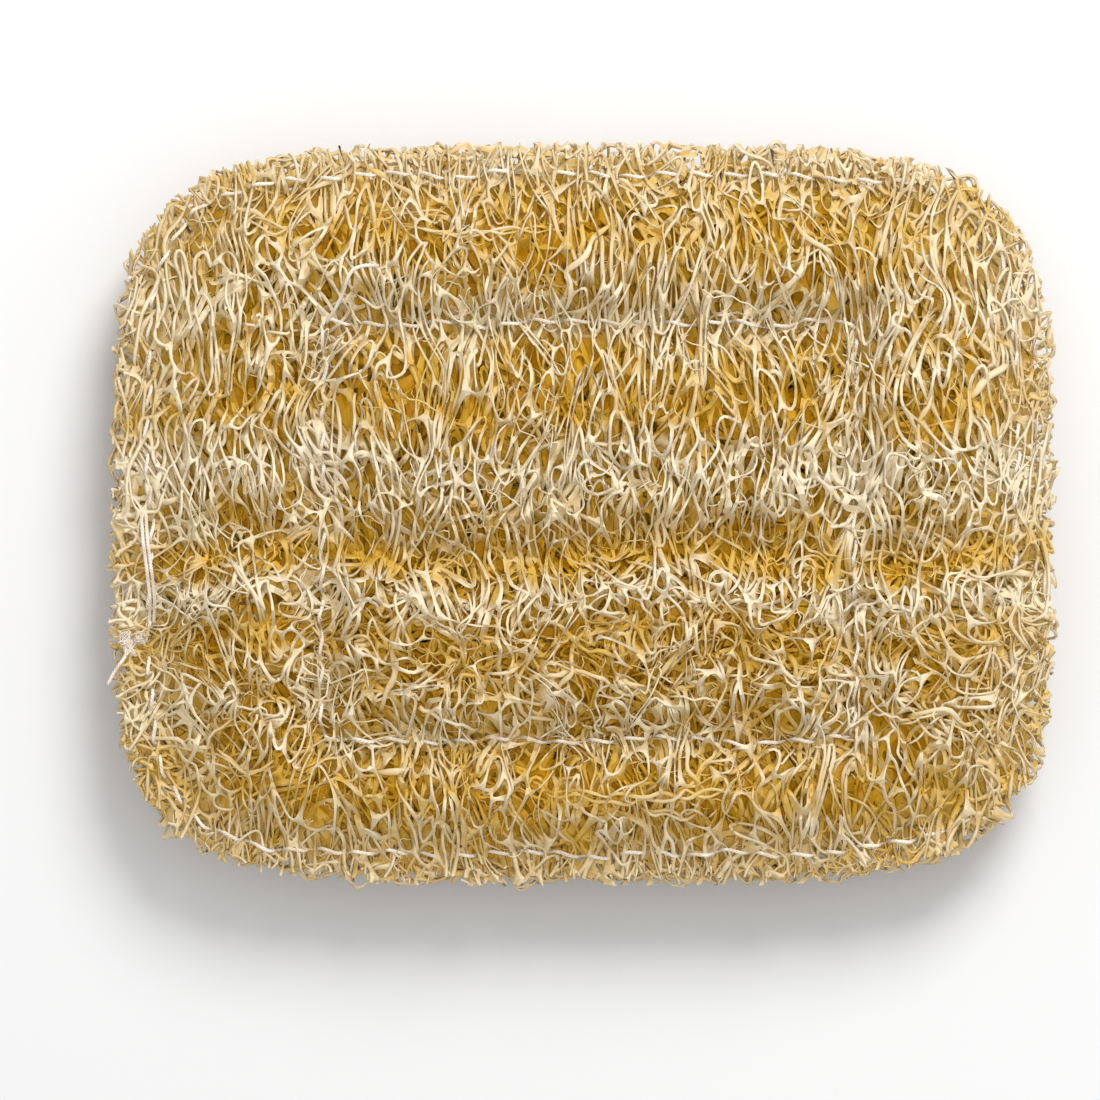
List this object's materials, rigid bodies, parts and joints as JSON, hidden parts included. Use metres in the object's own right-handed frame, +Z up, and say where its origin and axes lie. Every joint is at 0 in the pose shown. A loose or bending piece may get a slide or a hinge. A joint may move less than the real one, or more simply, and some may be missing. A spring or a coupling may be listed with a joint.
{
  "type": "natural loofah sponge",
  "caption": "Flat rectangular bath pad of pressed loofah gourd fibre with round corners, held flat by an outer and an inner lockstitched seam.",
  "frame": {"origin": "under the middle of the pad, on the surface that it lies on", "axes": "+X along the pad's length, +Y across it towards the side where the inner seam starts, +Z up through its thickness"},
  "size_m": [0.114, 0.0892, 0.0193],
  "materials": {
    "loofah_fibre": "dried plant fibre, matt with pale worn crests and amber hollows",
    "cotton_thread": "off-white twisted cotton, matt"
  },
  "bodies": {
    "root": {"loofah_mat": "loofah_fibre", "outer_seam_needle_thread": "cotton_thread", "outer_seam_bobbin_thread": "cotton_thread", "inner_seam_needle_thread": "cotton_thread", "inner_seam_bobbin_thread": "cotton_thread"}
  },
  "joints": []
}
